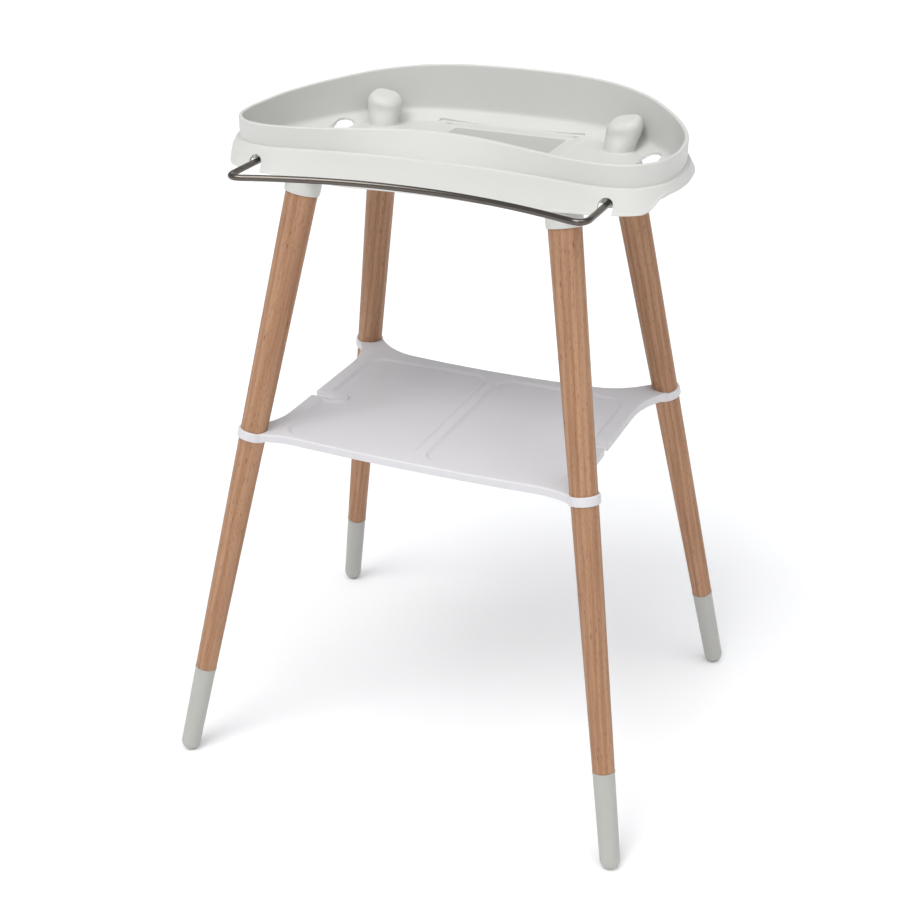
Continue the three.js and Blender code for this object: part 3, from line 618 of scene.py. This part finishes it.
def side_slot_ring(sx, radius, up):
    return at(stadium(sx * SIDE_SLOT_END, SIDE_SLOT_Y, sx * SIDE_SLOT_OPEN, SIDE_SLOT_Y, radius),
              SHELF_TOP_Z + up)


def shelf_tray(sx):
    """A shallow tray with soft sides, cut less deep round the slot in the shelf's side."""
    x0, x1 = on_side(sx, SHELF_TRAY["inner"], SHELF_TRAY["outer"])
    plan = (x0, x1, SHELF_TRAY["front"], SHELF_TRAY["back"], SHELF_TRAY["radius"])
    rings = [at(rounded_rectangle(*plan, 2.6), SHELF_TOP_Z + 4)]
    for i in range(13):
        t = i / 12
        drop = -0.06 + 3.56 * smoothstep(0, 1, t)
        rings.append(at(rounded_rectangle(*plan, 2.5 - 7.5 * t), SHELF_TOP_Z - drop))
    tray = mesh_object("tray", rings)
    island = [side_slot_ring(sx, 18.6, -8)]
    for i in range(9):
        t = i / 8
        island.append(side_slot_ring(sx, 18.5 - 5 * t, -3.6 + 4.2 * smoothstep(0, 1, t)))
    island.append(side_slot_ring(sx, 13.4, 8))
    combine(tray, [mesh_object("island", island)], "DIFFERENCE")
    return tray


def side_slot(sx):
    return mesh_object("side_slot", [
        side_slot_ring(sx, SIDE_SLOT_RADIUS + grow, up) for up, grow in (
            (-30, 0.6), (-11.7, 0.6), (-10.6, 0.1), (-9.6, 0), (-2.4, 0), (-1.3, 0.3),
            (-0.5, 0.9), (0.05, 2.0), (12, 2.1))])


def pin_hole(sx):
    return mesh_object("pin_hole", [
        circle(PIN_RADIUS, SHELF_TOP_Z + up, 20, sx * PIN_X, PIN_Y) for up in (-3, 3)])


def under_bay(x0, x1, y0, y1):
    return mesh_object("bay", [
        at(rounded_rectangle(x0, x1, y0, y1, BAY_RADIUS, grow), SHELF_TOP_Z - down)
        for grow, down in ((0.4, 16), (0, 11), (-0.2, 7.3), (-1.0, 6.5))])


for sx in (-1, 1):
    shelf_cutters += [shelf_tray(sx), side_slot(sx), pin_hole(sx)]
    for column in BAY_COLUMNS:
        shelf_cutters += [under_bay(*on_side(sx, *column), *row) for row in BAY_ROWS]

combine(shelf, shelf_additions, "UNION")
combine(shelf, shelf_cutters, "DIFFERENCE")
shade(shelf)

# ------------------------------------------------------------------ towel rail

def rail_path():
    """The rail's centre line in plan: an arm, a bend, the inward-curved bar and back."""
    sag = RAIL_MIDDLE_Y - RAIL_CORNER_Y
    slope = 2 * sag / RAIL_X
    turn = math.pi / 2 + math.atan(slope)
    setback = RAIL_BEND * math.tan(turn / 2)
    bar_end = 1 - setback * math.cos(math.atan(slope)) / RAIL_X
    bar = [(RAIL_X * t, RAIL_MIDDLE_Y - sag * t * t)
           for t in (bar_end * (i / 60 * 2 - 1) for i in range(61))]
    start = (-RAIL_X, RAIL_CORNER_Y + setback)
    points = [(-RAIL_X, RAIL_END_Y + (start[1] - RAIL_END_Y) * i / 12) for i in range(13)]
    points += quadratic(start, (-RAIL_X, RAIL_CORNER_Y), bar[0], 18)
    points += bar[1:]
    other = (RAIL_X, start[1])
    points += quadratic(bar[-1], (RAIL_X, RAIL_CORNER_Y), other, 18)
    points += [(RAIL_X, other[1] + (RAIL_END_Y - other[1]) * i / 12) for i in range(1, 13)]
    return [Vector(p) for p in points]


path = rail_path()
rail_rings = []
SIDES_OF_RAIL = 40
travelled = [0.0]
for before, here in zip(path, path[1:]):
    travelled.append(travelled[-1] + (here - before).length)
for i, point in enumerate(path):
    ahead = path[min(i + 1, len(path) - 1)] - path[max(i - 1, 0)]
    side = Vector((ahead.y, -ahead.x)).normalized()
    ring = []
    for k in range(SIDES_OF_RAIL):
        angle = 2 * math.pi * k / SIDES_OF_RAIL
        out = RAIL_RADIUS * math.cos(angle)
        ring.append((point.x + side.x * out, point.y + side.y * out,
                     RAIL_Z + RAIL_RADIUS * math.sin(angle)))
    rail_rings.append(ring)
rail = mesh_object("towel_rail_rod", rail_rings)
shade(rail, 60)
run = rail.data.attributes.new("run", "FLOAT", "POINT")
run.data.foreach_set("value", [d * MM for d in travelled for _ in range(SIDES_OF_RAIL)])

# ------------------------------------------------------------------ materials

def new_material(name):
    made = bpy.data.materials.new(name)
    made.use_nodes = True
    tree = made.node_tree
    return made, tree, tree.nodes["Principled BSDF"]


def add(tree, kind, links=None, **values):
    """A shader node; values are its settings, links are what feeds each of its sockets."""
    made = tree.nodes.new("ShaderNode" + kind)
    for key, value in values.items():
        setattr(made, key, value)
    for socket, source in (links or {}).items():
        if isinstance(source, bpy.types.NodeSocket):
            tree.links.new(source, made.inputs[socket])
        else:
            made.inputs[socket].default_value = source
    return made


def ramp(tree, source, stops):
    made = add(tree, "ValToRGB", {"Fac": source})
    elements = made.color_ramp.elements
    while len(elements) < len(stops):
        elements.new(0.5)
    for element, (place, colour) in zip(elements, stops):
        element.position = place
        element.color = (*colour, 1)
    return made.outputs["Color"]


def plastic(name, pale, deep, roughness, grain):
    """Moulded plastic: faint cloudiness in the colour, a spark-eroded grain and soft gloss."""
    made, tree, shader = new_material(name)
    coords = add(tree, "TexCoord").outputs["Object"]
    clouds = add(tree, "TexNoise", {"Vector": coords, "Scale": 9.0, "Detail": 3.0})
    colour = ramp(tree, clouds.outputs["Fac"], [(0.3, deep), (0.7, pale)])
    tree.links.new(colour, shader.inputs["Base Color"])
    patches = add(tree, "TexNoise", {"Vector": coords, "Scale": 38.0, "Detail": 4.0})
    spread = add(tree, "MapRange", {"Value": patches.outputs["Fac"], "From Min": 0.3,
                                    "From Max": 0.7, "To Min": roughness - 0.05,
                                    "To Max": roughness + 0.07})
    tree.links.new(spread.outputs["Result"], shader.inputs["Roughness"])
    fine = add(tree, "TexNoise", {"Vector": coords, "Scale": 1500.0, "Detail": 3.0})
    waves = add(tree, "TexNoise", {"Vector": coords, "Scale": 24.0, "Detail": 1.0})
    first = add(tree, "Bump", {"Height": fine.outputs["Fac"], "Strength": grain,
                               "Distance": 0.00012})
    second = add(tree, "Bump", {"Height": waves.outputs["Fac"], "Strength": 0.12,
                                "Distance": 0.0006, "Normal": first.outputs["Normal"]})
    tree.links.new(second.outputs["Normal"], shader.inputs["Normal"])
    shader.inputs["IOR"].default_value = 1.49
    shader.inputs["Specular IOR Level"].default_value = 0.42
    return made


def beech(name, shift, spin):
    """Steamed beech: long soft year rings, fine pores and short dark ray flecks."""
    made, tree, shader = new_material(name)
    coords = add(tree, "TexCoord").outputs["Object"]
    place = add(tree, "Mapping", {"Vector": coords, "Location": shift,
                                  "Rotation": (0.012, -0.018, spin)}).outputs["Vector"]
    slow = add(tree, "Mapping", {"Vector": place, "Scale": (14.0, 14.0, 1.6)})
    wander = add(tree, "TexNoise", {"Vector": slow.outputs["Vector"], "Scale": 1.0,
                                    "Detail": 2.0})
    centred = add(tree, "VectorMath", {0: wander.outputs["Color"], 1: (0.5, 0.5, 0.5)},
                  operation="SUBTRACT")
    pushed = add(tree, "VectorMath", {0: centred.outputs["Vector"], 1: (0.012, 0.012, 0.0)},
                 operation="MULTIPLY")
    moved = add(tree, "VectorMath", {0: place, 1: pushed.outputs["Vector"]}, operation="ADD")
    rings = add(tree, "TexWave", {"Vector": moved.outputs["Vector"], "Scale": 38.0,
                                  "Distortion": 0.6, "Detail": 2.0, "Detail Scale": 0.6},
                wave_type="RINGS", rings_direction="Z", wave_profile="SIN")
    streaky = add(tree, "Mapping", {"Vector": place, "Scale": (420.0, 420.0, 9.0)})
    streaks = add(tree, "TexNoise", {"Vector": streaky.outputs["Vector"], "Scale": 1.0,
                                     "Detail": 5.0, "Roughness": 0.6})
    broad = add(tree, "Mapping", {"Vector": place, "Scale": (60.0, 60.0, 3.0)})
    bands = add(tree, "TexNoise", {"Vector": broad.outputs["Vector"], "Scale": 1.0,
                                   "Detail": 3.0})
    sum_one = add(tree, "Math", {0: rings.outputs["Fac"], 1: 0.20}, operation="MULTIPLY")
    sum_two = add(tree, "Math", {0: streaks.outputs["Fac"], 1: 0.75, 2: sum_one.outputs[0]},
                  operation="MULTIPLY_ADD")
    mixed = add(tree, "Math", {0: bands.outputs["Fac"], 1: 0.65, 2: sum_two.outputs[0]},
                operation="MULTIPLY_ADD")
    tone = ramp(tree, mixed.outputs[0], [(0.50, (0.275, 0.135, 0.068)),
                                         (0.75, (0.355, 0.187, 0.102)),
                                         (0.98, (0.435, 0.248, 0.143))])
    dashed = add(tree, "Mapping", {"Vector": place, "Scale": (900.0, 900.0, 130.0)})
    flecks = add(tree, "TexNoise", {"Vector": dashed.outputs["Vector"], "Scale": 1.0,
                                    "Detail": 1.0})
    dark = ramp(tree, flecks.outputs["Fac"], [(0.60, (0.0, 0.0, 0.0)), (0.70, (0.55,) * 3)])
    knots_place = add(tree, "Mapping", {"Vector": place, "Scale": (160.0, 160.0, 42.0)})
    knots = add(tree, "TexVoronoi", {"Vector": knots_place.outputs["Vector"], "Scale": 0.5})
    spots = ramp(tree, knots.outputs["Distance"], [(0.045, (0.8,) * 3), (0.11, (0.0,) * 3)])
    flaw = add(tree, "Math", {0: dark, 1: spots}, operation="MAXIMUM")
    # The colour sockets of a Mix node are the seventh and the eighth, and its third output.
    stained = add(tree, "Mix", {0: flaw.outputs[0], 6: tone, 7: (0.17, 0.075, 0.035, 1)},
                  data_type="RGBA")
    tree.links.new(stained.outputs[2], shader.inputs["Base Color"])
    gloss = add(tree, "MapRange", {"Value": streaks.outputs["Fac"], "To Min": 0.62,
                                   "To Max": 0.46})
    tree.links.new(gloss.outputs["Result"], shader.inputs["Roughness"])
    relief = add(tree, "Bump", {"Height": streaks.outputs["Fac"], "Strength": 0.22,
                                "Distance": 0.0002})
    tree.links.new(relief.outputs["Normal"], shader.inputs["Normal"])
    shader.inputs["Specular IOR Level"].default_value = 0.35
    return made


def brushed_rail(name):
    """Drawn stainless rod: scratches run along it, wherever it bends."""
    made, tree, shader = new_material(name)
    run_along = add(tree, "Attribute", attribute_name="run").outputs["Fac"]
    coords = add(tree, "TexCoord").outputs["Object"]
    parts = add(tree, "SeparateXYZ", {"Vector": coords})
    line = add(tree, "CombineXYZ", {"X": run_along, "Z": parts.outputs["Z"]})
    stretched = add(tree, "Mapping", {"Vector": line.outputs["Vector"],
                                      "Scale": (30.0, 1.0, 5200.0)})
    scratches = add(tree, "TexNoise", {"Vector": stretched.outputs["Vector"], "Scale": 1.0,
                                       "Detail": 4.0, "Roughness": 0.65})
    colour = ramp(tree, scratches.outputs["Fac"], [(0.3, (0.09, 0.08, 0.07)),
                                                   (0.7, (0.17, 0.152, 0.135))])
    tree.links.new(colour, shader.inputs["Base Color"])
    rough = add(tree, "MapRange", {"Value": scratches.outputs["Fac"], "To Min": 0.17,
                                   "To Max": 0.30})
    tree.links.new(rough.outputs["Result"], shader.inputs["Roughness"])
    relief = add(tree, "Bump", {"Height": scratches.outputs["Fac"], "Strength": 0.18,
                                "Distance": 0.00005})
    tree.links.new(relief.outputs["Normal"], shader.inputs["Normal"])
    shader.inputs["Metallic"].default_value = 1.0
    return made


def turned_metal(name, dull, bright, roughness):
    """Machined metal: fine rings across the axis and a slight tarnish."""
    made, tree, shader = new_material(name)
    coords = add(tree, "TexCoord").outputs["Object"]
    cloud = add(tree, "TexNoise", {"Vector": coords, "Scale": 260.0, "Detail": 5.0})
    colour = ramp(tree, cloud.outputs["Fac"], [(0.3, dull), (0.7, bright)])
    tree.links.new(colour, shader.inputs["Base Color"])
    rough = add(tree, "MapRange", {"Value": cloud.outputs["Fac"], "To Min": roughness - 0.08,
                                   "To Max": roughness + 0.1})
    tree.links.new(rough.outputs["Result"], shader.inputs["Roughness"])
    grooves = add(tree, "TexWave", {"Vector": coords, "Scale": 300.0, "Distortion": 0.4},
                  bands_direction="Z")
    relief = add(tree, "Bump", {"Height": grooves.outputs["Fac"], "Strength": 0.4,
                                "Distance": 0.0001})
    tree.links.new(relief.outputs["Normal"], shader.inputs["Normal"])
    shader.inputs["Metallic"].default_value = 1.0
    return made


def dress(thing, finish, slot, *nodes):
    thing.data.materials.clear()
    thing.data.materials.append(finish)
    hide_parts(*nodes)
    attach(thing, "root")


tub_finish = plastic("tub plastic", (0.60, 0.60, 0.572), (0.58, 0.58, 0.552), 0.44, 0.25)
recess_finish = plastic("recess plastic", (0.44, 0.44, 0.418), (0.42, 0.42, 0.398), 0.6, 0.5)
shelf_finish = plastic("shelf plastic", (0.64, 0.628, 0.646), (0.62, 0.608, 0.626), 0.5, 0.3)
cap_finish = plastic("cap plastic", (0.425, 0.42, 0.392), (0.405, 0.40, 0.372), 0.46, 0.3)
dress(tub, tub_finish, "tub_plastic", "tub")
tub.data.materials.append(recess_finish)
for face in tub.data.polygons:
    sunk = abs(face.center.z - RECESS_Z * MM) < 0.0006 and face.normal.z > 0.9
    face.material_index = 1 if sunk and abs(face.center.x) < 0.1 else 0
dress(shelf, shelf_finish, "shelf_plastic", "shelf")
dress(rail, brushed_rail("rail steel"), "rail_steel", "towel_rail")
HEARTS = {"front_left": ((0.055, 0.01, 0.3), 0.6), "front_right": ((-0.07, 0.02, 1.1), 2.4),
          "rear_left": ((0.02, -0.06, 2.3), 1.5), "rear_right": ((-0.03, -0.065, 3.7), 4.0)}
for name in CORNERS:
    dress(legs[name], beech("beech " + name, *HEARTS[name]), "beech", "leg_" + name)
    dress(caps[name], cap_finish, "cap_plastic", "foot_cap_" + name)

zinc = turned_metal("zinc steel", (0.45, 0.46, 0.47), (0.62, 0.63, 0.64), 0.36)
brass = turned_metal("brass", (0.55, 0.38, 0.14), (0.72, 0.54, 0.24), 0.34)
for name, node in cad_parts.items():
    if node.hide_render:
        continue
    node.data.materials.clear()
    node.data.materials.append(brass if name.startswith("socket_insert") else zinc)

# ------------------------------------------------------------------ studio

floor_mesh = bpy.data.meshes.new("studio_floor")
reach = 30.0
floor_mesh.from_pydata([(-reach, -reach, -0.0004), (reach, -reach, -0.0004),
                        (reach, reach, -0.0004), (-reach, reach, -0.0004)], [], [(0, 1, 2, 3)])
floor = bpy.data.objects.new("studio_floor", floor_mesh)
bpy.context.scene.collection.objects.link(floor)
floor_finish, floor_tree, floor_shader = new_material("studio paper")
floor_coords = add(floor_tree, "TexCoord").outputs["Object"]
paper = add(floor_tree, "TexNoise", {"Vector": floor_coords, "Scale": 3.0})
paper_tone = ramp(floor_tree, paper.outputs["Fac"], [(0.3, (0.93, 0.93, 0.93)),
                                                     (0.7, (0.95, 0.95, 0.95))])
floor_tree.links.new(paper_tone, floor_shader.inputs["Base Color"])
floor_shader.inputs["Roughness"].default_value = 0.9
floor_shader.inputs["Specular IOR Level"].default_value = 0.1
floor.data.materials.append(floor_finish)


def softbox(name, location, target, size, power, colour=(1, 1, 1)):
    data = bpy.data.lights.new(name, "AREA")
    data.shape = "RECTANGLE"
    data.size, data.size_y = size
    data.energy = power
    data.color = colour
    lamp = bpy.data.objects.new(name, data)
    lamp.location = location
    lamp.rotation_mode = "QUATERNION"
    aim = Vector(target) - Vector(location)
    lamp.rotation_quaternion = aim.to_track_quat("-Z", "Y")
    bpy.context.scene.collection.objects.link(lamp)
    return lamp


softbox("front glow", (0.3, -3.4, 2.6), (0, 0, 0.7), (1.2, 0.9), 10)


def far_light(name, azimuth, elevation, strength, spread):
    """An even light from far away, so that the paper is lit alike everywhere."""
    data = bpy.data.lights.new(name, "SUN")
    data.energy = strength
    data.angle = math.radians(spread)
    lamp = bpy.data.objects.new(name, data)
    a, e = math.radians(azimuth), math.radians(elevation)
    back = Vector((math.sin(a) * math.cos(e), -math.cos(a) * math.cos(e), math.sin(e)))
    lamp.rotation_mode = "QUATERNION"
    lamp.rotation_quaternion = (-back).to_track_quat("-Z", "Y")
    bpy.context.scene.collection.objects.link(lamp)


far_light("key", -18, 54, 1.05, 30)
far_light("fill", 75, 42, 0.25, 50)
far_light("top", 20, 75, 1.4, 60)

world = bpy.data.worlds.new("studio")
world.use_nodes = True
sky = world.node_tree
sky_at = add(sky, "SeparateXYZ", {"Vector": add(sky, "TexCoord").outputs["Generated"]})
sky_tone = ramp(sky, sky_at.outputs["Z"], [(0.0, (0.58, 0.58, 0.58)), (0.2, (0.56, 0.565, 0.58)),
                                           (0.8, (0.46, 0.47, 0.49))])
sky.links.new(sky_tone, sky.nodes["Background"].inputs["Color"])
sky.nodes["Background"].inputs["Strength"].default_value = 0.92
bpy.context.scene.world = world

camera_data = bpy.data.cameras.new("camera")
camera = bpy.data.objects.new("camera", camera_data)
bpy.context.scene.collection.objects.link(camera)
camera.location = (0.7556, -1.8086, 1.3915)
camera.rotation_mode = "QUATERNION"
look = Vector((-0.0135, -0.0503, 0.4643)) - camera.location
camera.rotation_quaternion = look.to_track_quat("-Z", "Y")
camera_data.sensor_width = 36
camera_data.lens = 62.24
camera_data.shift_x = 0.0089
camera_data.shift_y = -0.0130
camera_data.clip_end = 200
bpy.context.scene.camera = camera
bpy.context.scene.view_settings.view_transform = "Standard"
bpy.context.scene.view_settings.look = "None"
